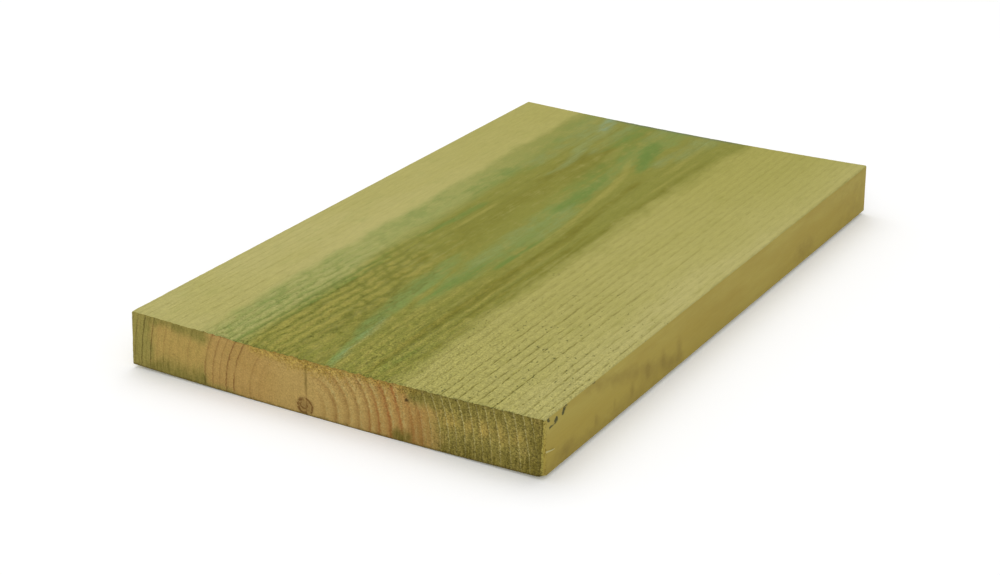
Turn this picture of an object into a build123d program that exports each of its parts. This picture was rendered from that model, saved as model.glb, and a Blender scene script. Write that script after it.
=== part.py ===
"""Sawn cladding board: a short length of pressure-treated softwood, lying with its sawn face up.

The board was cut flat from around the heart of the log, so in drying it has cupped: its section is
bent to an arc, hollow on the sawn face, crowned on the back, with edges square to the bent faces.

Frame, in millimetres: X across the board, Y along the grain, Z up. The origin is under the middle
of the board, on the line of the crown that the board lies on. The near end is at -Y.
"""

import os
from math import asin, cos, degrees, sin

from build123d import *

# Driving dimensions
LENGTH = 350.0  # along the grain, end cut to end cut
WIDTH = 200.0  # straight across the sawn face, edge to edge
THICKNESS = 25.0  # the same all across the bent section
CUP = 1.4  # hollow of the sawn face under a straightedge laid across it
ARRIS = 0.6  # radius that handling has worn on the four long edges

# The corner broken off the back, at the near end of the right-hand edge
CHIP_ACROSS = 2.4  # along the end cut
CHIP_ALONG = 2.8  # along the board's edge
CHIP_UP = 2.0  # up the corner

NODE = "cladding_board"


def bend_radius():
    """Radius of the hollow sawn face: the arc through both its edges that is CUP deep."""
    return (WIDTH**2 / 4 + CUP**2) / (2 * CUP)


def bend_angle():
    """Half the angle that the section spans about the axis it is bent around, in radians."""
    return asin(WIDTH / 2 / bend_radius())


def on_section(angle, depth):
    """The point of the section at an angle from its middle and a depth below the sawn face."""
    radius = bend_radius() + depth
    axis_height = bend_radius() + THICKNESS
    return radius * sin(angle), axis_height - radius * cos(angle)


def bent_section():
    """The board's cross-section: two concentric arcs, closed by edges square to them."""
    edge = bend_angle()
    top_left, top_middle, top_right = (on_section(a, 0) for a in (-edge, 0, edge))
    back_left, back_middle, back_right = (on_section(a, THICKNESS) for a in (-edge, 0, edge))
    with BuildSketch(Plane.XZ) as section:
        with BuildLine():
            ThreePointArc(top_left, top_middle, top_right)
            Line(top_right, back_right)
            ThreePointArc(back_right, back_middle, back_left)
            Line(back_left, top_left)
        make_face()
        fillet(section.vertices(), radius=ARRIS)
    return section.sketch


def chip_plane():
    """The plane that the broken corner left, facing out of the board."""
    x, z = on_section(bend_angle(), THICKNESS)
    y = -LENGTH / 2
    on_end_cut = Vector(x - CHIP_ACROSS, y, z)
    on_edge = Vector(x, y + CHIP_ALONG, z)
    on_corner = Vector(x, y, z + CHIP_UP)
    outward = (on_end_cut - on_corner).cross(on_edge - on_corner)
    return Plane(origin=on_corner, z_dir=outward)


def cladding_board():
    """The board, sawn to length at both ends, with its broken corner."""
    sawn = extrude(bent_section(), amount=LENGTH / 2, both=True)
    return split(sawn, bisect_by=chip_plane(), keep=Keep.BOTTOM)


def main():
    board = cladding_board()
    box = board.bounding_box()
    print(f"{NODE}: {box.size.X:.2f} x {box.size.Y:.2f} x {box.size.Z:.2f} mm, {board.volume / 1000:.1f} cm3")
    print(f"bend radius {bend_radius():.1f} mm, edges lean {degrees(bend_angle()):.3f} degrees")
    os.makedirs("parts", exist_ok=True)
    export_step(board, f"parts/{NODE}.step")


main()
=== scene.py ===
"""The looks of the sawn cladding board: one dense mesh of the weathered stock, and its loose fibres.

Lengths in this file are in millimetres in the board's own frame (X across, Y along the grain from
the near end, Z up out of the sawn face), and are turned into metres where a mesh or lamp is made.
"""

from itertools import product
from math import asin, cos, pi, radians, sin

import bpy
import numpy as np
from mathutils import Color, Matrix, Vector


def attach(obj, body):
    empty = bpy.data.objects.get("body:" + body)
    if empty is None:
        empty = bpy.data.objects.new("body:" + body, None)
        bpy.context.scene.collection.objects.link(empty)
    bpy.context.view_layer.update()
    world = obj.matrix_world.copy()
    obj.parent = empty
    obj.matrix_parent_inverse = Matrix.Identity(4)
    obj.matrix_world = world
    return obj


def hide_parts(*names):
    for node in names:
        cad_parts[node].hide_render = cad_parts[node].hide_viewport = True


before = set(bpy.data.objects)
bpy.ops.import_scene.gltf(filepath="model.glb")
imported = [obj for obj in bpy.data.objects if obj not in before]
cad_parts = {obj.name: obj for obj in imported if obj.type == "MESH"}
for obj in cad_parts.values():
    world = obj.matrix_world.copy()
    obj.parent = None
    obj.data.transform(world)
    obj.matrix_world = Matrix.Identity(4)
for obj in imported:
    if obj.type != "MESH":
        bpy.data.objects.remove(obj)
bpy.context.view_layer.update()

MM = 0.001
SEED = 5201

# The board, as its solid has it
LENGTH = 350.0
WIDTH = 200.0
THICKNESS = 25.0
CUP = 1.4
ARRIS = 0.6
CHIP_ACROSS = 2.4
CHIP_ALONG = 2.8
CHIP_UP = 2.0
BEND = (WIDTH**2 / 4 + CUP**2) / (2 * CUP)
LEAN = asin(WIDTH / 2 / BEND)
NEAR = -LENGTH / 2
FAR = LENGTH / 2

# How far the near right-hand corner is worn back on the end cut, at its top and at its foot
WORN_HEAD = 0.4
WORN_FOOT = 1.6

# How finely the mesh is divided, from what angle in degrees an edge is sharp, and how many fibres are loose
COLUMNS = 250
BACK_COLUMNS = 34
CHIP_COLUMNS = 8
ROWS = 16
END_ROWS = 22
ARRIS_STEPS = 3
SHARP_ANGLE = 55
FACE_FIBRES = 1300
EDGE_FIBRES = 90
END_FIBRES = 220

# The heart of the log, which the board runs along, and the growth rings round it
PITH_X = -10.9
PITH_Z = 4.4
PITH_DROP = 0.018
RINGS_RIGHT = (0, 4.5, 9.6, 15.3, 21.6, 26.7, 32.1, 36.4, 42, 47.4, 53, 57.4, 61.4, 65.5, 69.5, 72.9, 77.1,
               81.6, 85.2, 89.1, 93.2, 98, 102.2, 106.2, 109.7, 113.5, 117.5, 121.5)
RINGS_LEFT = (0, 4.5, 9, 16.5, 24.2, 28.6, 33, 36.9, 40.9, 44.2, 47.6, 51.5, 56, 60.8, 66.5, 70.5, 73.6,
              77, 80.4, 82.4, 84.8, 88.6, 91, 95, 99, 103, 107, 111, 115, 119)
# The rings right of the heart are centred lower than it: distance to the right, and how much lower
RING_DIP = ((12, 30, 45, 75, 100), (0, 1.5, 4.2, 5, 9))
# How strongly each ring shows on the end cuts: thin lines left of the heart, broad arcs right of it
LEFT_LINES = (0, 0, 0, 0, 0.15, 0.4, 0.1, 0.9, 0.9, 0.45, 0.6, 0.75, 0.12, 0.35, 0.12, 0.2, 0.35, 0.2, 1.0,
              0.25, 1.0, 0.7)
OUTER_LINES = 0.3
RIGHT_ARCS = (0, 0.25, 0.65, 0.9, 0.75, 0.75, 0.9, 0.85, 1.0, 0.95, 0.5, 0.6, 0.2)

# Relief of the sawn face: radii of the furrows by the heart, length of the lumps torn between them, and
# pitch of the saw's marks, then heights and depths
FURROWS = (20.8, 22.1, 24.1, 26.8, 29.8, 33.2, 37.0, 40.5, 44.6, 48.4, 52.2, 56.5, 62)
LUMP = 3.8
SAW_PITCH = 9.0
RIDGE_HEIGHT = 0.48
GROOVE_DEPTH = 0.16
SAW_HEIGHT = 0.04
GRAIN_HEIGHT = 0.05
FUZZ_HEIGHT = 0.13
TORN_DEPTH = 0.55

# Relief of the other faces: the back, the edges, and the end cuts, whose hard lines may stand proud
BACK_GRAIN = 0.06
BACK_SINK = 0.08
EDGE_GRAIN = 0.02
RAGGED_RIGHT = 0.25
RAGGED_LEFT = 0.1
HARD_LINE = 0.05
CUT_MARK = 0.035
CUT_GRIT = 0.03
CHECK_DEPTH = 0.12
END_SINK = 0.06
END_PROUD = 0.08


# Random fields and soft steps

def hashed(i, j, k, seed):
    """A repeatable random number from 0 to 1 for each point of a lattice."""
    n = (i * 73856093) ^ (j * 19349663) ^ (k * 83492791) ^ (seed * 7919 + SEED)
    n = n & 0xFFFFFFFF
    n = ((n ^ (n >> 15)) * 2246822519) & 0xFFFFFFFF
    n = ((n ^ (n >> 13)) * 3266489917) & 0xFFFFFFFF
    return (n ^ (n >> 16)) / 4294967296.0


def noise(x, y, z=0.0, seed=0):
    """A smooth random field from -1 to 1, with features about one unit across."""
    x, y, z = np.broadcast_arrays(np.asarray(x, float), np.asarray(y, float), np.asarray(z, float))
    cells = [np.floor(v).astype(np.int64) for v in (x, y, z)]
    parts = [v - np.floor(v) for v in (x, y, z)]
    ease = [p * p * (3 - 2 * p) for p in parts]
    total = 0.0
    for corner in product((0, 1), repeat=3):
        weight = np.prod([np.abs(1 - c - e) for c, e in zip(corner, ease)], axis=0)
        total = total + weight * hashed(*(cell + c for cell, c in zip(cells, corner)), seed)
    return 2 * total - 1


def layered(x, y, seed):
    """Noise with two finer layers laid over it, each half as strong."""
    layers = [noise(x * 2**n, y * 2**n, seed=seed + 31 * n) / 2**n for n in range(3)]
    return sum(layers) / 1.75


def smooth(low, high, value):
    """0 below low, 1 above high, with a smooth step between; low may be the larger."""
    t = np.clip((value - low) / (high - low), 0, 1)
    return t * t * (3 - 2 * t)


def band(value, low, high, soft):
    """1 between low and high, with soft sides."""
    return smooth(low - soft, low + soft, value) * smooth(high + soft, high - soft, value)


def bell(away, half):
    """1 in the middle, falling off to both sides."""
    return np.exp(-((away / half) ** 2))


# Growth rings

def pith(y):
    """Where the heart of the log is at a place along the board."""
    return PITH_X + 1.2 * noise(y / 140, 3.7, seed=2), PITH_Z - PITH_DROP * (y - NEAR)


def ring_radius(x, y, z):
    """Distance from the heart of the log, wavering as its rings do, and distance to the right of it."""
    px, pz = pith(y)
    radius = np.hypot(x - px, z - pz + np.interp(x - px, *RING_DIP))
    wave = 0.55 * noise(x / 26, y / 120, z / 30, seed=3) + 0.3 * noise(x / 9, y / 60, z / 14, seed=4)
    return radius + wave * smooth(4, 14, radius), x - px


def rings(x, y, z):
    """Ring number at a point, counted from the heart, rising by one over each year's growth."""
    radius, right_by = ring_radius(x, y, z)
    side = smooth(-0.6, 0.6, right_by / np.maximum(radius, 1))
    left = np.interp(radius, RINGS_LEFT, range(len(RINGS_LEFT)))
    right = np.interp(radius, RINGS_RIGHT, range(len(RINGS_RIGHT)))
    return left + (right - left) * side


def ridges(x, y, z):
    """The ridges by the heart: height across each, and the lumps that the saw tore along it."""
    row = np.interp(ring_radius(x, y, z)[0], FURROWS, range(len(FURROWS)))
    row = row + 0.22 * noise(x / 7, y / 8, seed=20) + 0.2 * noise(x / 3.2, y / 3.6, seed=24)
    ridge = np.floor(row)
    across = np.sin(pi * (row - ridge)) ** 2
    whole = ridge.astype(np.int64)
    pace = 0.7 + 0.7 * hashed(whole, 0 * whole, 0 * whole, 26)
    along = y * pace / LUMP + 0.13 * x + 0.9 * noise(x / 10, y / 17, seed=25)
    lane = 5.3 * ridge
    own = noise(lane, along, x / 40, seed=11) + 0.5 * noise(lane, 2.3 * along, x / 40, seed=12)
    shared = noise(x / 9, y / 5.2 + 0.16 * x, seed=19)
    tall = 0.8 + 0.2 * noise(lane, 0.4 * along, x / 40, seed=27)
    return across, tall * smooth(-0.85, 0.3, 0.7 * own + 0.5 * shared)


def ridge_zone(x, y):
    """Where the ridges stand out on the sawn face."""
    left = band(x, -67, -12, 4) * (0.1 + 0.9 * smooth(15, -100, y))
    right = 0.65 * band(x, -13, 42, 5) * (0.12 + 0.88 * smooth(70, -130, y))
    middle = 0.95 * band(x, -42, -16, 5) * band(y, -110, -42, 22)
    return np.maximum.reduce([left, right, middle])


# The section

def on_section(angle, depth):
    """The point of the bent section at an angle from its middle and a depth below the sawn face."""
    radius = BEND + depth
    return radius * sin(angle), BEND + THICKNESS - radius * cos(angle)


def section_loop():
    """The section's outline, clockwise from the left end of the sawn face as the near end shows it.

    Each point is (x, z, outward x, outward z, part), where part is top, right, back or left.
    """
    top_end = LEAN - asin(ARRIS / (BEND + ARRIS))
    back_end = LEAN - asin(ARRIS / (BEND + THICKNESS - ARRIS))
    by_chip = [n / CHIP_COLUMNS for n in range(CHIP_COLUMNS)]
    points = []

    def arris(angle, depth, start, stop, part):
        cx, cz = on_section(angle, depth)
        for n in range(1, ARRIS_STEPS):
            turn = start + (stop - start) * n / ARRIS_STEPS
            points.append((cx + ARRIS * cos(turn), cz + ARRIS * sin(turn), cos(turn), sin(turn), part))

    for n in range(COLUMNS + 1):
        a = top_end * (2 * n / COLUMNS - 1)
        points.append((*on_section(a, 0), -sin(a), cos(a), "top"))
    arris(top_end, ARRIS, pi / 2 + top_end, LEAN, "top")
    for n in range(ROWS + 1):
        depth = ARRIS + (THICKNESS - 2 * ARRIS) * n / ROWS
        points.append((*on_section(LEAN, depth), cos(LEAN), sin(LEAN), "right"))
    arris(back_end, THICKNESS - ARRIS, LEAN, back_end - pi / 2, "back")
    for n in by_chip + list(range(1, BACK_COLUMNS + 1)):
        a = back_end * (1 - 2 * n / BACK_COLUMNS)
        points.append((*on_section(a, THICKNESS), sin(a), -cos(a), "back"))
    arris(-back_end, THICKNESS - ARRIS, -pi / 2 - back_end, -pi - LEAN, "back")
    for n in range(ROWS + 1):
        depth = THICKNESS - ARRIS - (THICKNESS - 2 * ARRIS) * n / ROWS
        points.append((*on_section(-LEAN, depth), -cos(LEAN), sin(LEAN), "left"))
    arris(-top_end, ARRIS, pi - LEAN, pi / 2 - top_end, "top")
    return points


def stations():
    """Places along the board, closest together where its near end is torn."""
    near = np.arange(NEAR, NEAR + 21, 0.75)
    middle = np.arange(near[-1] + 1.3, 20, 1.3)
    far = np.arange(middle[-1] + 1.75, FAR - 0.9, 1.75)
    return np.concatenate([near, middle, far, [FAR]])


# Relief of the surfaces

def saw_marks(x, y):
    """Height of the saw's faint marks across the sawn face, from -1 to 1, broken up by the grain."""
    fibre = np.floor(x / 3.1 + 0.5 * noise(x / 11, y / 60, seed=10)).astype(np.int64)
    shift = 0.5 * hashed(fibre, 0 * fibre, 0 * fibre + 5, 11)
    phase = y / SAW_PITCH + 0.03 * x + shift + 0.8 * noise(x / 9, y / 19, seed=12)
    present = np.clip(0.5 + 0.8 * noise(x / 3.3, y / 11, seed=13), 0, 1)
    return np.sin(2 * pi * phase) * present


def hard_lines(x, y, z):
    """How near each place is to the hard line between two rings, from 0 to 1."""
    ring = rings(x, y, z)
    f = ring - np.floor(ring)
    return bell(f - 0.93, 0.13) + bell(f + 0.07, 0.13)


def sawn_relief(x, y, z):
    """Height of the sawn face above its bent surface."""
    zone = ridge_zone(x, y)
    across, lumps = ridges(x, y, z)
    near_half = 0.35 + 0.65 * smooth(60, -90, y)
    fuzz = smooth(-80, -172, y) * (0.4 + 0.6 * smooth(-64, -50, x))
    height = RIDGE_HEIGHT * zone * (across * (0.35 + 0.65 * lumps) - 0.35)
    height = height - GROOVE_DEPTH * hard_lines(x, y, z) * (1 - zone) * near_half
    height = height + SAW_HEIGHT * near_half * saw_marks(x, y)
    height = height + GRAIN_HEIGHT * layered(x / 3.1, y / 9, seed=14)
    return height + FUZZ_HEIGHT * fuzz * noise(x / 1.5, y / 1.9, seed=15)


def torn_arris(x, y):
    """How far the near end's top edge is torn down, most over the heart of the board."""
    over_heart = 0.25 + 0.75 * band(x, -55, 34, 14) + 0.5 * bell(x + 21, 9)
    rag = np.clip(0.45 + 0.7 * noise(x / 2.1, 0.5, seed=16) + 0.5 * noise(x / 6.5, 1.5, seed=17), 0, 2)
    reach = 1.5 + 1.1 * noise(x / 3.4, 2.5, seed=18)
    return TORN_DEPTH * over_heart * rag * bell(y - NEAR, reach)


def sawn_height(x, y):
    """Height of the sawn face at a place on it."""
    z = BEND + THICKNESS - np.sqrt(BEND**2 - x**2)
    return z + sawn_relief(x, y, z) - torn_arris(x, y)


def edge_relief(x, y, z):
    """How far an edge stands out: its grain, and the crumbs lost where the near end was cut."""
    lost = bell(y - NEAR, 1.3) * np.clip(0.4 + noise(y / 1.7, z / 1.6, seed=22), 0, 2)
    return EDGE_GRAIN * noise(y / 9, z / 4, seed=23) - lost * np.where(x > 0, RAGGED_RIGHT, RAGGED_LEFT)


def end_relief(x, y, z, seed):
    """How far an end cut stands out: hard lines, the cross-cut saw's slanting marks, and the check."""
    marks = CUT_MARK * noise((x + 0.55 * z) / 2.4, z / 11, seed=seed)
    grit = CUT_GRIT * noise(x / 1.3, z / 1.3, seed=seed + 1)
    check = CHECK_DEPTH * bell(x - PITH_X - 0.3, 0.55)
    return np.minimum(HARD_LINE * hard_lines(x, y, z) + marks + grit - check - END_SINK, END_PROUD)


# The board's mesh

SAWN, EDGE_FACE, END_FACE = range(3)


def board_sides(loop, places):
    """The faces and edges along the board: points in rows, quads, and each quad's surface."""
    lx, lz, nx, nz = (np.array([p[n] for p in loop]) for n in range(4))
    part = np.array([p[4] for p in loop])
    top, back = part == "top", part == "back"
    side = ~(top | back)
    X, Y = np.meshgrid(lx, places)
    Z = np.meshgrid(lz, places)[0]

    out = np.zeros_like(X)
    out[:, top] = sawn_relief(X[:, top], Y[:, top], Z[:, top]) - torn_arris(X[:, top], Y[:, top])
    out[:, back] = BACK_GRAIN * layered(X[:, back] / 5, Y[:, back] / 14, seed=21) - BACK_SINK
    out[:, side] = edge_relief(X[:, side], Y[:, side], Z[:, side])
    points = np.stack([X + nx * out, Y, Z + nz * out], -1).reshape(-1, 3)

    faces, kinds = [], []
    count = len(loop)
    for k in range(count):
        k1 = (k + 1) % count
        kind = EDGE_FACE if side[k] and side[k1] else SAWN
        for j in range(len(places) - 1):
            a, b = j * count, (j + 1) * count
            faces.append((a + k, a + k1, b + k1, b + k))
            kinds.append(kind)
    return points, faces, kinds


def zip_loops(outer, inner, points):
    """Triangles that fill between two closed loops of vertices, both clockwise, the inner inside."""
    start = min(range(len(inner)), key=lambda n: (points[inner[n]] - points[outer[0]]).length)
    inner = inner[start:] + inner[:start]
    faces = []
    o = i = 0
    while o < len(outer) or i < len(inner):
        o0, o1 = outer[o % len(outer)], outer[(o + 1) % len(outer)]
        i0, i1 = inner[i % len(inner)], inner[(i + 1) % len(inner)]
        step_out = (points[o1] - points[i0]).length <= (points[i1] - points[o0]).length
        if i == len(inner) or (o < len(outer) and step_out):
            faces.append((i0, o1, o0))
            o += 1
        else:
            faces.append((o0, i0, i1))
            i += 1
    return faces


def fill_end(points, rim, y, seed):
    """Fills the rim at one end with a grid: all the points, and the end's faces."""
    depths = [ARRIS + (THICKNESS - 2 * ARRIS) * n / END_ROWS for n in range(1, END_ROWS)]
    angles = [LEAN * (2 * n / COLUMNS - 1) for n in range(1, COLUMNS)]
    inside = np.array([[on_section(a, d) for a in angles] for d in depths])
    x, z = inside[..., 0], inside[..., 1]
    rows, columns = x.shape
    first = len(points)
    grid = np.stack([x, y + np.sign(y) * end_relief(x, y, z, seed), z], -1)
    points = np.concatenate([points, grid.reshape(-1, 3)])

    def at(row, column):
        return first + row * columns + column

    inner = [at(0, c) for c in range(columns)] + [at(r, columns - 1) for r in range(1, rows)]
    inner += [at(rows - 1, c) for c in range(columns - 2, -1, -1)]
    inner += [at(r, 0) for r in range(rows - 2, 0, -1)]
    faces = [(at(r + 1, c), at(r + 1, c + 1), at(r, c + 1), at(r, c))
             for r in range(rows - 1) for c in range(columns - 1)]
    faces += zip_loops(rim, inner, {n: Vector(points[n]) for n in inner + rim})
    return points, faces if y < 0 else [face[::-1] for face in faces]


def cut_back(points, corners, way, seed):
    """Moves what lies beyond the plane of three corners back to it, against way, a little raggedly."""
    first, second, third = corners
    outward = np.cross(second - first, third - first)
    beyond = (points - first) @ (outward / np.dot(outward, way))
    rag = 0.12 * np.clip(noise(*(points / 0.9).T, seed=seed), 0, 1)
    return points - np.where(beyond > 0, beyond + rag, 0)[:, None] * way


def break_corner(points):
    """Wears the near end's right-hand corner, most at its foot, where a chip has broken off it."""
    head_x, head_z = on_section(LEAN, 0)
    foot_x, foot_z = on_section(LEAN, THICKNESS)
    head = np.array([head_x, NEAR, head_z])
    foot = np.array([foot_x, NEAR, foot_z])
    worn = head - (WORN_HEAD, 0, 0), foot - (WORN_FOOT, 0, 0), foot + (0, 0.7 * WORN_FOOT, 0)
    chip = foot + (0, 0, CHIP_UP), foot - (CHIP_ACROSS, 0, 0), foot + (0, CHIP_ALONG, 0)
    points = cut_back(points, worn, np.array([0.7, -0.7, 0]), 52)
    return cut_back(points, chip, np.array([0.6, -0.6, -0.6]), 51)


def build_board():
    """The board's points, faces, and each face's surface."""
    loop, places = section_loop(), stations()
    points, faces, kinds = board_sides(loop, places)
    count = len(loop)
    last = (len(places) - 1) * count
    for y, first, seed in ((NEAR, 0, 31), (FAR, last, 41)):
        points, end = fill_end(points, list(range(first, first + count)), y, seed)
        faces += end
        kinds += [END_FACE] * len(end)
    return break_corner(points), faces, kinds


# Streaks on the sawn face by colour, each drawn along the board by (y, x, half width), with its strength

STREAKS = {"teal": (
    (0.85, (-175, 0.3, 1.8), (-150, -3.5, 2.2), (-125, -8.5, 3.2), (-100, -12, 4.2), (-75, -13.8, 4.6),
     (-52, -13.8, 3.6)),
    (0.62, (-104, -1, 3), (-70, -2, 5), (-40, -1, 7), (0, -1, 8), (40, -5, 8), (80, -7, 6), (100, -7, 4)),
    (0.55, (95, -7, 4), (120, -10, 6), (150, -8, 7), (175, -6, 9)),
), "green": (
    (0.55, (-92, -1, 2.2), (-60, -1.5, 2.6), (-45, -2, 2)),
    (0.65, (-45, 6, 1.5), (-15, 7, 1.6), (0, 7.5, 1.4)),
    (0.75, (38, -5, 3), (60, -6.5, 4), (80, -8, 3.6), (92, -9, 2.4)),
    (0.95, (104, 3.5, 2), (120, -1, 4), (135, -5, 5.5), (150, -10, 4.5), (162, -13, 2.5)),
    (0.55, (125, -24, 5), (150, -27, 6), (175, -28, 7)),
    (0.4, (60, -15, 4), (105, -16.5, 5), (150, -18, 6)),
    (0.5, (-175, -45.8, 1.4), (-110, -45.5, 1.4), (-55, -45, 1.1)),
    (0.5, (-150, -42.1, 1.4), (-115, -41.8, 1.5), (-65, -41.6, 1.1)),
    (0.3, (-160, -60, 2.5), (-140, -60.5, 3.5), (-115, -60, 2.5)),
    (0.18, (-35, -59, 4), (0, -59.5, 5), (22, -60, 4)),
    (0.65, (-28, -44, 1.6), (0, -42, 2.2), (28, -41, 1.8)),
    (0.42, (25, -54, 5), (55, -53, 6), (90, -50, 5)),
    (0.25, (85, -50, 5), (130, -55, 6), (175, -58, 8)),
    (0.28, (-172, 19, 2), (-155, 21, 2.5), (-135, 24, 2)),
), "yellow": (
    (0.8, (-65, 9.5, 1), (-20, 8.5, 1.1), (20, 7.5, 1.2), (50, 4.5, 1.5), (75, 2, 1.8), (100, -2, 2.1),
     (118, -8, 1.9), (128, -12, 1.2)),
    (0.75, (-18, -35.5, 1), (10, -35, 1.1), (24, -35, 0.9)),
    (0.55, (-170, 13, 1), (-120, 12, 0.9), (-60, 11.2, 1)),
    (0.45, (-60, 17.5, 1.6), (-40, 17.5, 1.8), (-22, 17, 1.4)),
    (0.6, (-175, 6.5, 6), (-150, 5, 4.4), (-115, 3, 3.2), (-70, 2, 3)),
    (0.6, (-145, 20.5, 0.9), (-70, 20, 1), (5, 19.5, 0.9)),
    (0.5, (100, 17, 1.4), (130, 16, 2), (160, 15.5, 1.4)),
    (0.4, (60, 22, 1), (95, 22, 1.3), (130, 22.5, 1)),
    (0.45, (105, -17, 2), (122, -20, 3), (140, -22, 2)),
), "dark": (
    (0.75, (-170, 16, 2), (-100, 15.8, 3), (-50, 15.5, 3), (0, 15, 2.8), (30, 13, 2.4), (78, 10, 2)),
    (0.62, (-125, 23.5, 1.6), (-50, 23.2, 1.9), (5, 23, 1.7)),
    (0.4, (-160, 28.5, 1.4), (-70, 28, 1.6), (60, 26, 2), (160, 25.5, 2.4)),
    (0.35, (-45, -24, 7), (10, -28, 8), (60, -29, 8), (92, -27, 6)),
    (0.6, (66, -32, 4), (95, -31, 7), (115, -29, 7), (130, -26, 4)),
    (0.22, (-150, -17, 5), (-125, -20, 7), (-100, -22, 5)),
    (0.4, (-95, -28, 4), (-70, -29, 5), (-50, -29, 4)),
    (0.42, (66, -22, 4), (92, -20, 6), (122, -18, 5)),
    (0.15, (40, 25, 4), (100, 24, 5), (130, 23, 5)),
), "grey": (
    (0.55, (85, -33, 2), (95, -34, 2.8), (115, -37, 3.4), (137, -40, 3.8), (160, -43.5, 4.4),
     (175, -46, 5)),
    (0.35, (145, -15, 3.5), (175, -14, 5)),
    (0.35, (-8, 4, 3), (20, 3, 4), (42, -1, 4.5)),
    (0.35, (-62, -5, 4), (-20, -5, 5), (25, -6, 5)),
    (0.45, (112, 6, 4), (140, 10, 6), (175, 12, 7)),
    (0.35, (122, -31, 4), (150, -33, 5), (175, -34, 5)),
    (0.4, (68, -48, 4), (110, -47.5, 5), (150, -50, 6), (175, -52, 6)),
), "blue": (
    (0.4, (152, -42, 2), (160, -43.2, 2.8), (168, -44.5, 3.8), (175, -45.6, 4.2)),
    (0.2, (-175, 1.5, 2.4), (-150, -1.5, 2.6), (-125, -5.5, 2.2)),
)}
# Dark marks on the right-hand edge by the near corner, partly the painted shade of small dents: stroke from
# (y, z) to (y, z), radius and strength
EDGE_MARKS = (((-172.4, 25.8), (-171, 24.6), 0.9, 0.9), ((-166, 22.2), (-164.8, 22.8), 1.2, 1),
              ((-170.6, 21.2), (-166.5, 22), 0.7, 0.8), ((-157.2, 26), (-157.8, 25), 1.5, 0.75),
              ((-159.6, 23.2), (-158.8, 24.6), 1, 1), ((-133.8, 25.9), (-132.6, 25.8), 1.3, 0.65))
# Specks on the end cuts: (x, z, radius, strength)
END_FLECKS = ((37.8, 19.2, 0.9, 1), (35.8, 23.6, 0.9, 0.45), (-78.4, 11.2, 0.9, 0.4))
# Smudges on the right-hand edge: (y, half width, depth under the sawn face, half height)
EDGE_SMUDGES = ((-131, 1.2, 18, 2.5), (-114, 1.3, 17.5, 3), (-98, 1.5, 18, 3), (-83, 2.2, 15.5, 4),
                (-68, 2.2, 15, 4), (-52, 2.6, 16, 5.5), (-157, 6, 19, 4), (92, 13, 19, 5))


# Fields that the sawn face's material reads

def streaks(x, y, drawn, seed):
    """How strongly streaks cover each place, from 0 to 1, with wandering sides."""
    wander = 1.6 * noise(x / 9, y / 26, seed=seed) + noise(x / 3, y / 11, seed=seed + 1)
    drift = noise(x / 3.5, y / 40, seed=seed + 2)
    total = np.zeros_like(x)
    for strength, *line in drawn:
        ys, xs, halves = (np.array(v, float) for v in zip(*line))
        fade = 0.18 * (ys[-1] - ys[0])
        shifted = y + fade * drift
        ends = smooth(ys[0] - fade, ys[0] + fade, shifted) if ys[0] > NEAR else 1.0
        ends = ends * (smooth(ys[-1] + fade, ys[-1] - fade, shifted) if ys[-1] < FAR else 1.0)
        half = np.interp(y, ys, halves)
        away = np.abs(x + wander * np.minimum(half / 3, 1) - np.interp(y, ys, xs)) / half
        total = np.maximum(total, strength * ends * smooth(1.8, 0.2, away))
    return total


def stained_zone(x, y):
    """The green stain on the sawn face: 1 inside, 0 on the pale straw at both sides."""
    edge = np.interp(y, (NEAR, -110, -40, FAR), (-60, -64.3, -67.2, -66.4))
    wander = 1.2 * noise(y / 45, 0.0, seed=61) + 1.8 * noise(y / 13, x / 14, seed=62)
    soft = 3.8 + 1.2 * smooth(-80, -170, y)
    left = smooth(edge - soft, edge + soft, x + wander)
    fray = 2.8 * noise(y / 24, x / 5, seed=63)
    return left * smooth(39, 22, x + fray - 2 * smooth(40, 150, y) - 3 * smooth(-140, -168, y))


def pale_green(x, y):
    """The paler green along the left of the stain, which deepens towards the far end."""
    inner = np.interp(y, (NEAR, -60, 40, FAR), (-43.5, -46.8, -49, -52)) + 2.5 * noise(y / 30, x / 9, seed=68)
    return smooth(inner + 4, inner - 6, x) * (1 - 0.6 * smooth(-30, 150, y))


def straw_depth(x, y):
    """How deep a yellow the unstained straw is."""
    left = 0.03 + 0.5 * smooth(-60, 150, y)
    right = np.interp(x, (30, 45, 75, 98), (0.6, 0.6, 0.44, 0.05)) + 0.33 * smooth(0, 150, y)
    return np.where(x < 0, left, right - 0.12 * band(y, -70, 40, 40) * smooth(60, 90, x))


def ring_lines(x, y):
    """How strongly the rings' lines show along the sawn face."""
    lines = np.interp(x, (-100, -86, -70, -62, 25, 36, 66, 100), (0.5, 0.3, 0.32, 0.9, 0.7, 0.8, 1.08, 1.12))
    lines = lines * (1 - 0.75 * band(x, -75, -46, 4) * smooth(-120, -50, y))
    lines = lines * np.interp(y, (NEAR, -75, -25, 30, 90), (1, 0.85, 0.54, 0.38, 0.32))
    lines = lines * (1 - 0.22 * smooth(36, 60, x) * smooth(-130, -70, y))
    return lines * (1 - 0.5 * ridge_zone(x, y))


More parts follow.
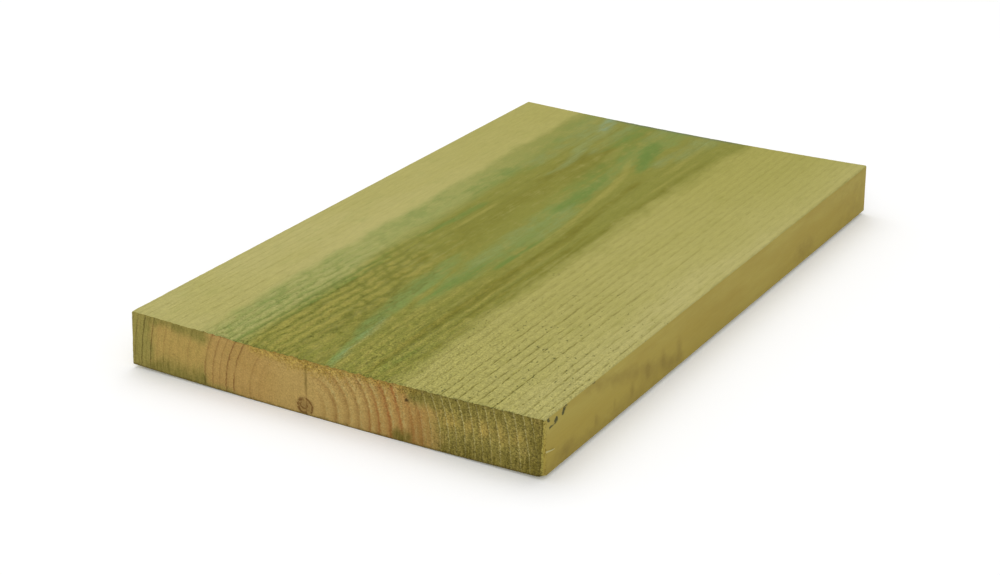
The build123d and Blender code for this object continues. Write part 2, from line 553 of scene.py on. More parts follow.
def sawn_fields(x, y, z):
    """What the sawn face's material reads at each vertex."""
    top = smooth(10, 20, z)
    near = smooth(60, -80, y)
    across, lumps = ridges(x, y, z)
    drawn = {}
    for n, (name, lines) in enumerate(STREAKS.items()):
        drawn[name] = streaks(x, y, lines, 81 + 20 * n) * top
    drawn["yellow"] *= 1 - 0.65 * near * (1 - lumps)
    bare = ridge_zone(x, y) * top * (1 - 0.8 * np.clip(1.6 * drawn["teal"], 0, 1))
    # The lumps' painted highlight is made brighter by the near end
    near_end_highlight = 1 + 0.45 * smooth(-138, -168, y) * smooth(-18, 2, x)
    # How strongly the painted shade in the furrows shows along the board
    furrow_shade_share = 0.45 + 0.55 * smooth(-30, -120, y) - 0.3 * smooth(-145, -168, y)
    furrow_shade_share = furrow_shade_share * (0.55 + 0.45 * smooth(-60, -50, x))
    plain_left = smooth(-58, -72, x) * (1 - smooth(-60, -175, y))
    woolly = np.interp(x, (-66, -58, -30, -12, 2, 12, 40, 66), (0.3, 0.5, 0.7, 0.6, 0.7, 1.2, 1.1, 0.8))
    return {
        "stain": stained_zone(x, y) * (0.35 + 0.65 * top),
        **drawn,
        # Painted shade: a dark blue-grey line along the far top edge
        "far_edge_shade": 0.75 * bell(FAR - y, 2.2) * band(x, -45, 30, 8) * top,
        "pale": pale_green(x, y),
        "deep": straw_depth(x, y),
        # Painted highlight on the tops of the lumps along the ridges
        "crest_highlight": (0.25 + 0.75 * across) * (0.1 + 0.9 * lumps) * bare * near_end_highlight,
        # Painted shade in the furrows between the ridges, and in the gaps between their lumps
        "furrow_shade": (1 - across) ** 2 * (1 - 0.55 * lumps) * bare * furrow_shade_share,
        "gap_shade": smooth(0.35, 0, lumps) * (0.3 + 0.7 * across) * bare * band(x, -60, -10, 5),
        "lines": ring_lines(x, y),
        "near": near * (1 - 0.7 * plain_left),
        "close": 0.4 + 0.6 * smooth(-60, -130, y),
        "brink": bell(y - NEAR, 0.9) * band(x, -64, 96, 6),
        "fuzz": woolly * (0.16 + 0.84 * smooth(-40, -172, y)),
        "pits": smooth(20, 34, x) * (0.1 + 0.9 * smooth(20, -130, y)),
    }


# Fields that the end cuts' material reads

def end_heights(x, z):
    """Height of a place on an end cut above the back, and its depth under the sawn face."""
    above = BEND + THICKNESS - np.hypot(x, BEND + THICKNESS - z)
    return above, THICKNESS - above


def soaked_end(x, y, z):
    """Where the treatment has soaked into the end cuts from the faces and edges."""
    above, under = end_heights(x, z)
    px = x + 1.4 * noise(x / 5, z / 4, y, seed=71)
    strip = smooth(-85, -93, px)
    middle = 0.1 * band(px, -92, -62, 4)
    deeper = 2.6 * bell(x + 64, 4.5)
    fringe = band(px, -94, -60, 3) * smooth(6.5, 0.5, under - deeper + 1.2 * noise(x / 4, y, seed=72))
    foot = band(px, -92, -61, 2) * smooth(13, 1, above + 0.9 * noise(x / 4, y, seed=73))
    toe = 0.7 * band(px, -62, -44, 5) * smooth(3.5, 0.5, above + 0.8 * noise(x / 3, y, seed=74))
    spot = 0.95 * band(px, 31.5, 40, 2.5) * smooth(8.5, 2.5, above + 1.5 * noise(x / 3, y, seed=77))
    right = smooth(41, 59, px)
    reach = np.interp(x, (30, 38, 50), (-3, 1.5, 5))
    upper = smooth(27, 42, px) * smooth(reach + 6.5, reach, under + 2 * noise(x / 3, y, seed=79))
    return np.clip(np.maximum.reduce([strip, middle, fringe, foot, toe, spot, right, upper]), 0, 1)


def end_murk(x, above):
    """How dark the treatment is where it has soaked an end cut."""
    foot = smooth(10, 3, above)
    head = smooth(17, 23, above)
    left = 0.12 + 0.35 * band(x, -92, -58, 4) * np.maximum(foot, 0.8 * head)
    right = 0.52 + 0.22 * foot + 0.1 * head + 0.3 * smooth(88, 98, x) + 0.2 * band(x, 30, 41, 3) * foot
    return np.where(x < 0, left, right)


def ring_strength(x, ring):
    """How strongly the nearest ring shows on an end cut."""
    nearest = np.rint(ring).astype(int)
    left = np.array(LEFT_LINES + (OUTER_LINES,) * len(RINGS_LEFT))[nearest]
    right = np.array(RIGHT_ARCS + (0.0,) * len(RINGS_RIGHT))[nearest]
    return np.where(x < PITH_X, left, 0), right * smooth(1, 15, x - PITH_X)


def end_fields(x, y, z):
    """What the end cuts' material reads at each vertex."""
    above, under = end_heights(x, z)
    left_line, right_arc = ring_strength(x, rings(x, y, z))
    torn_depth = 3 + 4.5 * bell(x + 12, 17) + 2 * noise(x / 3.2, y, seed=65)
    crumbs = np.interp(x, (-44, -32, 12, 24, 46, 56), (0, 0.4, 0.5, 1, 1, 0))
    flecks = [s * bell(np.hypot(x - fx, z - fz), r) for fx, fz, r, s in END_FLECKS]
    to_edge = WIDTH / 2 * (1 + under / BEND) - x
    worn = 1 - to_edge / (2 * np.interp(under, (0, THICKNESS), (WORN_HEAD, WORN_FOOT)))
    return {
        "soaked": soaked_end(x, y, z),
        "ochre": band(x, 44, 90, 6) * bell(above - 14.5, 3.8),
        "murk": end_murk(x, above),
        "amber": band(x, -93, -61, 4),
        "buff": band(x, -28, 20, 8),
        # Painted shade: a thin brown line along the top of the end cut, under its torn edge
        "lip": np.clip(1 - under / 1.7, 0, 1) * band(x, -66, 96, 6),
        # Painted shade: the end cut darkens along its foot, where the arris is in shade
        "rim": smooth(1.8, 0.2, above + 0.5 * noise(x / 2.2, y, seed=78)),
        "crumbs": crumbs * smooth(7, 1, under + 2 * noise(x / 3.5, y, seed=66)),
        "flecks": np.maximum.reduce(flecks),
        "thin": left_line,
        "arcs": right_arc,
        "white": smooth(39, 50, x) * (0.4 + 0.6 * smooth(2, 12, above)) * (1 - 0.8 * smooth(95, 97, x)),
        "red": band(x, 21, 52, 4),
        "pink": band(x, 39, 48, 3.5) * smooth(21, 11, above),
        "speckle": 0.3 + 0.32 * band(x, -8, 46, 6) * smooth(5, 17, above) + 0.8 * smooth(44, 58, x),
        "torn": band(x, -42, 41, 8) * smooth(1.0, 0.25, under / np.maximum(torn_depth, 0.5)),
        "worn": np.where(y < 0, np.clip(worn, -1, 1), -1),
    }


# Fields that the edges' material reads

def to_stroke(y, z, start, end):
    """Distance on the edge from a stroke drawn between two places."""
    y, z = y - start[0], z - start[1]
    dy, dz = end[0] - start[0], end[1] - start[1]
    t = np.clip((y * dy + z * dz) / (dy**2 + dz**2), 0, 1)
    return np.hypot(y - t * dy, z - t * dz)


def edge_smudge(y, z):
    """Grey-brown smudges on the right-hand edge, one of them slanting down from the near top; the edge also
    darkens towards its foot in the near half, and towards the far end.
    """
    down = THICKNESS + CUP - z
    slant = 0.55 * bell(down - 0.24 * (y + 142), 3.6) * band(y, -140, -50, 14)
    ticks = [bell(y - at, half) * bell(down - low, tall) for at, half, low, tall in EDGE_SMUDGES]
    foot = 0.5 * smooth(14, 25, down) * smooth(-20, -100, y) + 0.2 * smooth(100, 160, y)
    return np.clip(slant + foot + 0.6 * np.maximum.reduce(ticks), 0, 1)


def edge_fields(x, y, z):
    """What the edges' material reads at each vertex."""
    right_edge = x > 0
    marks = [s * (1 - to_stroke(y, z, start, end) / (2 * r)) for start, end, r, s in EDGE_MARKS]
    return {
        "marks": np.maximum.reduce(marks) * right_edge,
        "smudge": edge_smudge(y, z) * right_edge,
        "lower": smooth(3, 14, end_heights(x, z)[1]) * (1 - 0.7 * band(y, -25, 65, 25)),
        "ragged": bell(y - NEAR, 1.6) * right_edge,
    }


# Materials

def linear(red, green, blue):
    """The light values of a colour that is written as it looks on screen, 0 to 255."""
    return (*Color((red / 255, green / 255, blue / 255)).from_srgb_to_scene_linear(), 1.0)


class Value:
    """What a node gives out over a surface. Arithmetic with it adds nodes."""

    def __init__(self, graph, socket):
        self.graph = graph
        self.socket = socket

    def __add__(self, other):
        return self.graph.math("ADD", self, other)

    def __sub__(self, other):
        return self.graph.math("SUBTRACT", self, other)

    def __mul__(self, other):
        return self.graph.math("MULTIPLY", self, other)

    def centred(self, gain):
        """A noise round 0 instead of round 0.5, made this many times stronger."""
        return (self - 0.5) * gain

    def ramp(self, *stops):
        """Another number for each number, through (place, level) stops."""
        made = self.graph.node("ValToRGB", {"Fac": self}, "Color")
        elements = made.socket.node.color_ramp.elements
        while len(elements) < len(stops):
            elements.new(0.5)
        for element, (place, level) in zip(elements, stops):
            element.position = place
            element.color = (level, level, level, 1.0)
        return made


class Graph:
    """Builds the nodes of a material or a sky. A socket takes a Value, a number, a list or a colour."""

    def __init__(self, owner):
        self.owner = owner
        owner.use_nodes = True
        self.tree = owner.node_tree

    def feed(self, node, inputs):
        """Gives sockets of a node what they take."""
        for name, value in inputs.items():
            if isinstance(value, Value):
                self.tree.links.new(value.socket, node.inputs[name])
            else:
                node.inputs[name].default_value = linear(*value) if isinstance(value, tuple) else value

    def node(self, kind, inputs, output, **settings):
        """One output of a new node, as a Value."""
        made = self.tree.nodes.new("ShaderNode" + kind)
        for name, value in settings.items():
            setattr(made, name, value)
        self.feed(made, inputs)
        return Value(self, made.outputs[output])

    def math(self, operation, *values):
        return self.node("Math", dict(enumerate(values)), 0, operation=operation)

    def field(self, name):
        return self.node("Attribute", {}, "Fac", attribute_name=name)

    def place(self):
        """The place on the board, in metres."""
        return self.node("TexCoord", {}, "Object")

    def grain(self, size_mm, detail=2.0, rough=0.5, twist=0.0):
        """Noise whose features are about this many millimetres across, along and up."""
        scale = [1 / (s * MM) for s in size_mm]
        place = self.node("Mapping", {"Vector": self.place(), "Scale": scale}, "Vector")
        inputs = {"Vector": place, "Scale": 1.0, "Detail": detail, "Roughness": rough, "Distortion": twist}
        return self.node("TexNoise", inputs, "Fac")

    def mix(self, amount, a, b, blend="MIX"):
        inputs = {"Factor": amount, "A": a, "B": b}
        return self.node("Mix", inputs, "Result", data_type="RGBA", blend_type=blend)

    def coat(self, colour, *layers):
        """A colour with (amount, colour) layers laid over it in turn."""
        for amount, over in layers:
            colour = self.mix(amount, colour, over)
        return colour

    def shade(self, colour, tone):
        """Lightens or darkens a colour by a number round 1."""
        grey = self.node("CombineColor", {n: tone for n in range(3)}, "Color")
        return self.mix(1.0, colour, grey, "MULTIPLY")

    def finish(self, colour, roughness, height, depth_mm):
        """The material, given its colour and roughness, and fine relief of this depth."""
        normal = self.node("Bump", {"Distance": depth_mm * MM, "Height": height}, "Normal")
        inputs = {"Base Color": colour, "Roughness": roughness, "Normal": normal, "Specular IOR Level": GLOSS}
        self.feed(self.tree.nodes["Principled BSDF"], inputs)
        return self.owner


GLOSS = 0.06

# Colours, as they look on screen
WHITE = 255, 255, 255
STRAW = 182, 174, 110
STRAW_DEEP = 164, 158, 82
PALE_GREEN = 158, 159, 92
OLIVE = 136, 135, 60
BROWN = 120, 116, 40
GREEN = 108, 131, 60
TEAL = 126, 143, 76
MOSS = 128, 143, 78
GREY_GREEN = 140, 150, 92
BLUE_GREY = 136, 158, 126
# Painted shade along the far top edge
FAR_EDGE_SHADE = 106, 116, 86
# Dark of the rings' lines and of the painted shade in furrows and gaps; the green one is painted shade only
LINE_AND_SHADE_DARK = 102, 103, 38
HOLLOW_SHADE_GREEN = 114, 131, 64
LINE_STRAW = 120, 113, 49
# Painted highlights on the ridges' lumps; the pale one is also the splinter's deeper colour
CREST_HIGHLIGHT = 169, 156, 79
PALE_HIGHLIGHT_AND_SPLINTER = 171, 168, 105
YELLOW = 156, 150, 74
PIT = 84, 88, 40
PITTED = 72, 76, 36
TAN = 181, 149, 87
TAN_DEEP = 173, 141, 79
AMBER = 178, 152, 83
BUFF = 182, 155, 92
# Painted shade under the end cuts' torn top edge
TOP_EDGE_SHADE = 130, 96, 44
ARC_BROWN = 140, 104, 55
ARC_RED = 148, 94, 48
PINK = 155, 119, 62
LINE_BROWN = 122, 86, 46
LINE_SOAKED = 92, 82, 40
END_GREEN = 152, 141, 74
END_DARK = 110, 99, 41
# Painted shade along the end cuts' foot and top, also dark specks and the worn corner's seam
SHADE_AND_MARK_DARK = 92, 80, 36
FLECK = 70, 56, 28
OCHRE = 160, 139, 70
END_WHITE = 188, 176, 114
WOOL_YELLOW = 196, 169, 84
WOOL_DEEP = 150, 122, 46
PITH_BROWN = 104, 70, 32
CHECK = 112, 96, 44
EDGE = 174, 158, 79
EDGE_DEEP = 166, 147, 70
EDGE_LOW = 168, 148, 67
SMUDGE = 140, 121, 58
# Dark marks on the edge, partly the painted shade of small dents
MARK_AND_DENT_SHADE = 46, 56, 38
SPLINTER = 214, 198, 146
WORN = 157, 144, 70
CRUMB = 94, 80, 24


def ring_places(g):
    """How far through its year's growth each place is, and a strength that differs from year to year."""
    ring = g.field("ring")
    wobble = g.grain((1.6, 30, 1.6)).centred(0.2) + g.grain((1.5, 6, 1.5), detail=3).centred(0.3)
    year = g.node("TexWhiteNoise", {"W": g.math("FLOOR", ring)}, "Value", noise_dimensions="1D")
    return g.math("FRACT", ring + wobble), year * 0.7 + 0.4


def sawn_face(name):
    g = Graph(bpy.data.materials.new(name))
    fibre = g.grain((1.1, 26, 1.1), detail=3, rough=0.6)
    strand = g.grain((0.5, 6, 0.5))
    patch = g.grain((5, 20, 5), detail=3, rough=0.6)
    wool = g.grain((0.7, 1.3, 0.7), detail=3, rough=0.7, twist=0.5)
    blotch = g.grain((17, 48, 17))
    blot = g.grain((7, 12, 7), detail=3, rough=0.6)
    stain, pale, fuzz = g.field("stain"), g.field("pale"), g.field("fuzz")
    sharp = g.field("near") * 0.3 + 0.7
    rag = (fibre.centred(1.3) + wool.centred(1.0)) * sharp + patch.centred(0.9) + blot.centred(0.9)

    def frayed(name):
        """A drawn field with sides broken up along the fibres."""
        drawn = g.field(name)
        return (drawn + rag).ramp((0, 0), (1, 1)) * drawn.ramp((0, 0), (0.35, 1))

    straw = g.coat(STRAW, (g.field("deep"), STRAW_DEEP), (blotch.ramp((0.36, 0), (0.68, 0.32)), STRAW_DEEP))
    stained = g.coat(
        OLIVE,
        (pale, PALE_GREEN),
        (blot.ramp((0.44, 0), (0.7, 0.42)) * pale, MOSS),
        (frayed("dark"), BROWN),
        (frayed("teal"), TEAL),
        (frayed("green"), GREEN),
        (frayed("grey"), GREY_GREEN),
        (frayed("blue"), BLUE_GREY),
        (frayed("yellow") * 0.85, YELLOW),
        # Painted shade along the far top edge
        (g.field("far_edge_shade"), FAR_EDGE_SHADE),
    )
    border = stain + (fibre.centred(0.9) + wool.centred(0.6)) * sharp + blot.centred(0.9)

    share = g.math("MAXIMUM", stain, 0.3)
    # Painted shade in the furrows between the ridges and in the gaps between the lumps
    furrow_shade = g.field("furrow_shade") * (wool + fibre.centred(1.0)).ramp((0.3, 1.0), (0.7, 0.45))
    gap_shade = g.field("gap_shade") * (wool + fibre.centred(0.6)).ramp((0.35, 0.65), (0.6, 0.15))
    hollow_shade = g.mix(pale, LINE_AND_SHADE_DARK, HOLLOW_SHADE_GREEN)
    # Painted highlight on the tops of the torn lumps, paler where the stain is pale
    ridge = g.field("crest_highlight")
    crest_highlight = (ridge + wool.centred(0.8) + fibre.centred(0.7)).ramp((0.2, 0), (1, 0.64))
    crest_highlight = crest_highlight * ridge.ramp((0, 0), (0.25, 1))

    place, strength = ring_places(g)
    crisp = place.ramp((0, 0.5), (0.06, 0.05), (0.5, 0), (0.8, 0.18), (0.93, 1.1), (1, 0.6))
    # Away from the near end the lines are drawn soft and wide: partly the rings' dark lines, partly painted
    # shade beside the low ridges
    soft = place.ramp((0, 0.55), (0.18, 0.1), (0.4, 0), (0.62, 0.2), (0.88, 0.8), (1, 0.65))
    dark = soft + (crisp - soft) * g.field("close")
    broken = g.grain((1.2, 6, 1.2), detail=3, rough=0.6).ramp((0.36, 0.08), (0.58, 1.1))
    line = dark * strength * broken * g.field("lines")
    colour = g.coat(
        straw,
        (border.ramp((0.05, 0), (0.95, 1)), stained),
        (furrow_shade * share, hollow_shade),
        (gap_shade * share, hollow_shade),
        (crest_highlight * share, g.mix(stain, STRAW, g.mix(pale, CREST_HIGHLIGHT, PALE_HIGHLIGHT_AND_SPLINTER))),
        (line, g.mix(stain, LINE_STRAW, LINE_AND_SHADE_DARK)),
    )
    threads = (strand.centred(0.38) + fibre.centred(0.14)) * sharp
    colour = g.shade(colour, threads + 1.0 + wool.centred(2.1) * fuzz)

    crowd = line * 0.08 + g.grain((9, 14, 9), detail=1).centred(0.3)
    pits = (g.grain((1.2, 2.0, 1.2), detail=1) + crowd).ramp((0.69, 0), (0.76, 1))
    brink = g.field("brink") * wool.ramp((0.42, 0.75), (0.58, 0))
    colour = g.coat(colour, (pits * g.field("pits") * 0.75, PITTED), (brink, PIT))
    height = wool * (fuzz * 0.85 + 0.1) + strand * 0.3 - line * 0.6
    return g.finish(colour, wool * 0.2 + 0.7, height, 0.2)


def edge_face(name):
    g = Graph(bpy.data.materials.new(name))
    fibre = g.grain((1.4, 60, 1.4), detail=3, rough=0.55)
    fine = g.grain((0.6, 9, 0.6))
    blotch = g.grain((12, 40, 8), detail=3)
    crumb = g.grain((0.8, 0.9, 0.8))
    smudge, marks = g.field("smudge"), g.field("marks")
    patchy = (smudge + g.grain((3, 5, 4)).centred(0.8)).ramp((0.1, 0), (0.9, 1))
    torn = crumb.ramp((0.52, 0), (0.62, 1)) * g.field("ragged").ramp((0.05, 0), (0.6, 0.8))
    ragged = (marks + crumb.centred(0.7)).ramp((0.38, 0), (0.62, 0.85))
    colour = g.coat(
        EDGE,
        (blotch.ramp((0.38, 0), (0.7, 1)), EDGE_DEEP),
        (g.field("lower") * 0.6, EDGE_LOW),
        (fibre.ramp((0.35, 0), (0.75, 0.35)), EDGE_DEEP),
        (patchy * smudge.ramp((0, 0), (0.2, 0.8)), SMUDGE),
        (torn, CRUMB),
        # Dark marks by the near corner, partly the painted shade of small dents
        (ragged * marks.ramp((0.1, 0), (0.3, 1)), MARK_AND_DENT_SHADE),
    )
    colour = g.shade(colour, fine.centred(0.12) + 1.0)
    return g.finish(colour, 0.6, fine * 0.5 + fibre * 0.5, 0.08)


def heart_layers(g):
    """Layers of an end cut's colour: the dark rounds of the heart, and the check above them."""
    x, y, z = (g.node("SeparateXYZ", {0: g.place()}, n) for n in range(3))
    up = y * PITH_DROP + z - (PITH_Z + PITH_DROP * NEAR) * MM
    across = x - PITH_X * MM
    waver = g.grain((2.6, 2.6, 2.6)).centred(2.6 * MM)

    def from_heart(right_by, up_by):
        """Distance from a place beside the heart, over a shape a little wider than high."""
        dx = across - right_by * MM
        dz = (up - up_by * MM) * 1.2
        return g.math("SQRT", dx * dx + dz * dz) + waver

    def ringed(away, radius_mm, half_mm):
        """How strongly a dark ring of this radius shows."""
        off = g.math("ABSOLUTE", away - radius_mm * MM)
        return (off * (1 / (half_mm * MM))).ramp((0.25, 1), (1, 0))

    away = from_heart(-0.4, -0.4)
    patchy = g.grain((2, 2, 2)).ramp((0.36, 0.3), (0.52, 1))
    inside = (away * (1 / (8 * MM))).ramp((0.3, 0.42), (0.7, 0))
    rounds = g.math("MAXIMUM", ringed(away, 3.7, 1.2), ringed(from_heart(-1.2, -0.3), 1.5, 0.9))
    off = across - 0.2 * MM + g.grain((3, 3, 3)).centred(0.9 * MM)
    off = g.math("ABSOLUTE", off) * (1 / MM)
    high = (up * (1 / (16 * MM))).ramp((0.2, 0), (0.6, 1))
    return (
        (g.math("MAXIMUM", rounds * patchy * 0.85, inside), PITH_BROWN),
        (off.ramp((0.3, 0.5), (1, 0)) * high, CHECK),
        (off.ramp((0.1, 0.36), (0.42, 0)), g.mix(high, PITH_BROWN, CHECK)),
    )


def end_cut(name):
    g = Graph(bpy.data.materials.new(name))
    place, strength = ring_places(g)
    pores = g.grain((0.4, 0.4, 0.4))
    grit = g.grain((0.8, 0.8, 0.6), detail=3, rough=0.7)
    curl = g.grain((1.3, 1.3, 0.9), twist=1.2)
    mottle = g.grain((2.2, 2.2, 2.8), detail=3, rough=0.6)
    run = g.grain((0.9, 0.9, 7), detail=3, rough=0.6)
    cloud = g.grain((14, 14, 9), detail=3)
    speckle, white = g.field("speckle"), g.field("white")
    arcs, red, torn = g.field("arcs"), g.field("red"), g.field("torn")

    soft = place.ramp((0, 0.6), (0.1, 0.1), (0.4, 0), (0.72, 0.4), (0.93, 1), (1, 0.75))
    early = place.ramp((0.04, 0), (0.14, 0.6), (0.3, 0.3), (0.5, 0))
    streaky = g.grain((0.9, 0.9, 1.6), detail=3).ramp((0.42, 0), (0.6, 1))
    wood = g.coat(
        TAN,
        (cloud.ramp((0.35, 0), (0.7, 1)), TAN_DEEP),
        (g.field("amber") * 0.8, AMBER),
        (g.field("buff") * 0.7, BUFF),
        (red * 0.7, TAN_DEEP),
        (g.field("pink") * mottle.ramp((0.3, 0.4), (0.65, 0.95)), PINK),
        (soft * arcs * mottle.ramp((0.3, 0.45), (0.6, 0.95)), g.mix(red, ARC_BROWN, ARC_RED)),
        (early * arcs * streaky, END_WHITE),
    )
    murk = g.field("murk") + mottle.centred(0.6) + run.centred(1.3)
    columns = mottle + g.grain((4, 4, 14), detail=1).centred(1.2)
    green = g.coat(
        END_GREEN,
        (murk.ramp((0.05, 0), (0.95, 1)), END_DARK),
        (g.field("ochre") * columns.ramp((0.3, 0.2), (0.6, 1)), OCHRE),
    )
    soaked = (g.field("soaked") + mottle.centred(0.6) + run.centred(0.9)).ramp((0.05, 0), (0.95, 1))

    thin = place.ramp((0, 0.85), (0.06, 0), (0.5, 0), (0.78, 0.12), (0.93, 1), (1, 1))
    uneven = g.grain((3, 3, 6)).ramp((0.32, 0.5), (0.52, 1))
    hair = place.ramp((0, 0.6), (0.04, 0), (0.88, 0), (0.96, 1), (1, 0.9))
    dotted = g.grain((1.1, 1.1, 0.8), detail=3, rough=0.7).ramp((0.34, 0.4), (0.54, 1))
    lip = g.field("lip") + curl.centred(1.4)
    rim = g.field("rim") + curl.centred(0.8)
    worn = g.field("worn") + grit.centred(0.6)
    colour = g.coat(
        wood,
        (soaked, green),
        (thin * g.field("thin") * uneven * 0.78, g.mix(soaked, LINE_BROWN, LINE_SOAKED)),
        (hair * white * dotted * (strength * 0.4 + 0.5), END_WHITE),
        *heart_layers(g),
        (torn * curl.ramp((0.38, 0.8), (0.52, 0.15)), WOOL_DEEP),
        (torn * curl.ramp((0.5, 0), (0.6, 0.9)), WOOL_YELLOW),
        # Painted shade along the top of the end cut
        (lip.ramp((0.5, 0), (1, 0.55)), g.mix(soaked, TOP_EDGE_SHADE, SHADE_AND_MARK_DARK)),
        (grit.ramp((0.38, 0.85), (0.46, 0)) * g.field("crumbs"), SHADE_AND_MARK_DARK),
        # Painted shade along the foot of the end cut
        (rim.ramp((0.35, 0), (1, 0.85)), SHADE_AND_MARK_DARK),
        (g.field("flecks").ramp((0.15, 0), (0.6, 0.9)), FLECK),
        (worn.ramp((0.15, 0), (0.36, 0.6), (0.5, 0)), SHADE_AND_MARK_DARK),
        (worn.ramp((0.42, 0), (0.58, 0.85)), WORN),
    )
    tone = pores.centred(0.5) + place.centred(-0.3) * white + grit.centred(2.7) * speckle
    colour = g.shade(colour, tone + mottle.centred(0.15) + 1.0)
    return g.finish(colour, 0.75, grit * speckle + pores * 0.5, 0.16)


def torn_wool(name, light, deep):
    """The loose fibres' own colour, streaked along each."""
    g = Graph(bpy.data.materials.new(name))
    tone = g.grain((0.5, 0.9, 0.5))
    return g.finish(g.mix(tone.ramp((0.35, 0), (0.65, 1)), light, deep), 0.7, tone, 0.05)


# The pieces

def placed(name, data):
    """A new object of the scene, which holds this mesh, lamp or camera."""
    made = bpy.data.objects.new(name, data)
    bpy.context.scene.collection.objects.link(made)
    return made


def wooden(name, points, faces, kinds, materials):
    """A piece of these faces, each with its kind of material, that carries the materials' fields."""
    mesh = bpy.data.meshes.new(name)
    mesh.from_pydata([tuple(p) for p in points * MM], [], faces)
    for material in materials:
        mesh.materials.append(material)
    mesh.polygons.foreach_set("material_index", np.array(kinds, np.int32))
    mesh.polygons.foreach_set("use_smooth", np.ones(len(mesh.polygons), bool))
    mesh.set_sharp_from_angle(angle=radians(SHARP_ANGLE))
    x, y, z = points.T
    fields = {"ring": rings(x, y, z), **sawn_fields(x, y, z), **end_fields(x, y, z), **edge_fields(x, y, z)}
    for field, values in fields.items():
        made = mesh.attributes.new(field, "FLOAT", "POINT")
        made.data.foreach_set("value", np.ascontiguousarray(values, np.float32))
    return placed(name, mesh)


def sliver(points, faces, root, way, bend, length, width):
    """Adds a tapering three-sided sliver that starts at root, runs along way and curls by bend."""
    root = Vector(root)
    way = Vector(way).normalized()
    side = way.cross(Vector((0.3, 0.2, 1))).normalized()
    lift = side.cross(way)
    first = len(points)
    steps = (0.0, 0.4, 0.8)
    for t in steps:
        middle = root + way * (length * t) + lift * (bend * length * t * t)
        for turn in (pi / 2, pi * 7 / 6, pi * 11 / 6):
            points.append(middle + (side * cos(turn) + lift * sin(turn)) * (width / 2 * (1 - 0.6 * t)))
    points.append(root + way * length + lift * (bend * length))
    for n in range(len(steps) - 1):
        a, b = first + 3 * n, first + 3 * n + 3
        faces.extend((b + k, b + (k + 1) % 3, a + (k + 1) % 3, a + k) for k in range(3))
    last = first + 3 * (len(steps) - 1)
    faces.extend((last + 3, last + (k + 1) % 3, last + k) for k in range(3))
    faces.append((first, first + 1, first + 2))


def build_fibres():
    """Fibres that the saws left loose, and one splinter.

    Each face's kind is 0 on the sawn face, 1 for torn wool and 2 for the splinter.
    """
    rng = np.random.default_rng(SEED)
    points, faces, kinds = [], [], []

    def add(root, way, bends, lengths, widths, kind):
        sliver(points, faces, root, way, rng.uniform(*bends), rng.uniform(*lengths), rng.uniform(*widths))
        kinds.extend([kind] * (len(faces) - len(kinds)))

    xs = rng.uniform(-62, 99, FACE_FIBRES)
    ys = NEAR + 2 + 78 * rng.random(FACE_FIBRES) ** 1.7
    for x, y, z in zip(xs, ys, sawn_height(xs, ys)):
        way = (rng.uniform(-0.4, 0.4), rng.choice((-1, 1)), rng.uniform(0.05, 0.3))
        add((x, y, z - 0.1), way, bends=(-0.25, 0.1), lengths=(0.9, 2.4), widths=(0.16, 0.3), kind=0)
    xs = rng.triangular(-58, -8, 38, EDGE_FIBRES)
    ys = NEAR + rng.uniform(0.2, 0.9, EDGE_FIBRES)
    for x, y, z in zip(xs, ys, sawn_height(xs, ys)):
        way = (rng.uniform(-0.6, 0.6), -1, rng.uniform(-0.6, 0.5))
        add((x, y, z - 0.2), way, bends=(-0.4, 0.2), lengths=(0.8, 1.7), widths=(0.2, 0.4), kind=1)
    xs = rng.triangular(-42, -4, 42, END_FIBRES)
    zs = sawn_height(xs, np.full_like(xs, NEAR)) - 0.5 - 6 * rng.random(END_FIBRES) ** 1.5
    for x, z in zip(xs, zs):
        way = (rng.uniform(-0.9, 0.9), -0.35, rng.uniform(-1, 0.3))
        add((x, NEAR + 0.15, z), way, bends=(-0.1, 0.3), lengths=(0.6, 1.5), widths=(0.18, 0.34), kind=1)
    x, z = on_section(LEAN, 14.4)
    way = (0.06, 1, -0.2)
    add((x - 0.1, NEAR + 1.4, z), way, bends=(0.05, 0.05), lengths=(7, 7), widths=(0.8, 0.8), kind=2)
    return np.array(points), faces, kinds


sawn = sawn_face("sawn_face")
board = wooden("weathered_board", *build_board(), [sawn, edge_face("edge_face"), end_cut("end_cut")])
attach(board, "root")
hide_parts("cladding_board")

wool = [sawn, torn_wool("torn_wool", WOOL_YELLOW, WOOL_DEEP), torn_wool("splinter", SPLINTER, PALE_HIGHLIGHT_AND_SPLINTER)]
fibres = wooden("loose_fibres", *build_fibres(), wool)
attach(fibres, "root")


# The stage

FLOOR_REACH = 6000.0
FLOOR_GREY = 0.93
# Light that the floor gives off to the camera alone, so that it shows white
FLOOR_LIFT = 0.12
SKY_LEVEL = 0.65
# Each lamp's name, place, power in watts, and width
LAMPS = (("key", (-450, 350, 1500), 9.5, 1400), ("fill", (550, -1300, 800), 4.3, 1200))


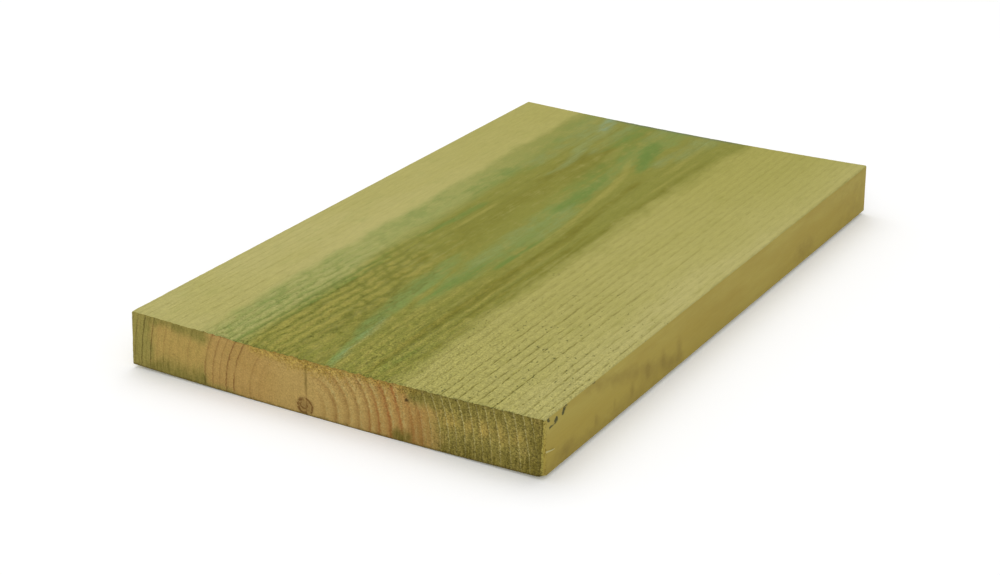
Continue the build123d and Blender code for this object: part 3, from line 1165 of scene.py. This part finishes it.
def pale_floor():
    mesh = bpy.data.meshes.new("floor")
    reach = FLOOR_REACH * MM
    corners = [(x * reach, y * reach, 0) for x, y in ((-1, -1), (1, -1), (1, 1), (-1, 1))]
    mesh.from_pydata(corners, [], [(0, 1, 2, 3)])
    g = Graph(bpy.data.materials.new("floor"))
    lift = g.node("LightPath", {}, "Is Camera Ray") * FLOOR_LIFT
    g.feed(g.tree.nodes["Principled BSDF"], {
        "Base Color": [FLOOR_GREY, FLOOR_GREY, FLOOR_GREY, 1], "Roughness": 0.9, "Specular IOR Level": 0.0,
        "Emission Color": WHITE, "Emission Strength": lift})
    mesh.materials.append(g.owner)
    ground = placed("floor", mesh)


def white_sky():
    """A soft sky, which is white to the camera, in gloss and through glass."""
    world = bpy.data.worlds.new("studio")
    bpy.context.scene.world = world
    g = Graph(world)
    seen = g.node("LightPath", {}, "Is Camera Ray")
    for ray in ("Is Glossy Ray", "Is Transmission Ray"):
        seen = g.math("MAXIMUM", seen, g.node("LightPath", {}, ray))
    level = seen * (1 - SKY_LEVEL) + SKY_LEVEL
    g.feed(g.tree.nodes["Background"], {"Color": WHITE, "Strength": level})


def lamps():
    for name, place, power, width in LAMPS:
        lamp = bpy.data.lights.new(name, "AREA")
        lamp.energy = power
        lamp.size = width * MM
        made = placed(name, lamp)
        made.location = Vector(place) * MM
        made.rotation_euler = (-Vector(place)).to_track_quat("-Z", "Y").to_euler()


def camera():
    """The photograph's viewpoint, found from the board's outline."""
    azimuth, elevation, roll = 0.507766587, 0.394696831, 0.0209347053
    distance, right_by, up_by = 1009.135, -15.787, -2.192
    focal_px, width_px = 2117.508, 1000.0
    back = Vector((sin(azimuth) * cos(elevation), -cos(azimuth) * cos(elevation), sin(elevation)))
    level = Vector((cos(azimuth), sin(azimuth), 0))
    up = back.cross(level)
    across = cos(roll) * level + sin(roll) * up
    upright = -sin(roll) * level + cos(roll) * up
    eye = back * distance + across * right_by + upright * up_by
    data = bpy.data.cameras.new("camera")
    data.sensor_fit = "HORIZONTAL"
    data.sensor_width = 36.0
    data.lens = focal_px / width_px * data.sensor_width
    made = placed("camera", data)
    made.matrix_world = Matrix.Translation(eye * MM) @ Matrix((across, upright, back)).transposed().to_4x4()
    bpy.context.scene.camera = made


pale_floor()
white_sky()
lamps()
camera()
bpy.context.scene.view_settings.view_transform = "Standard"
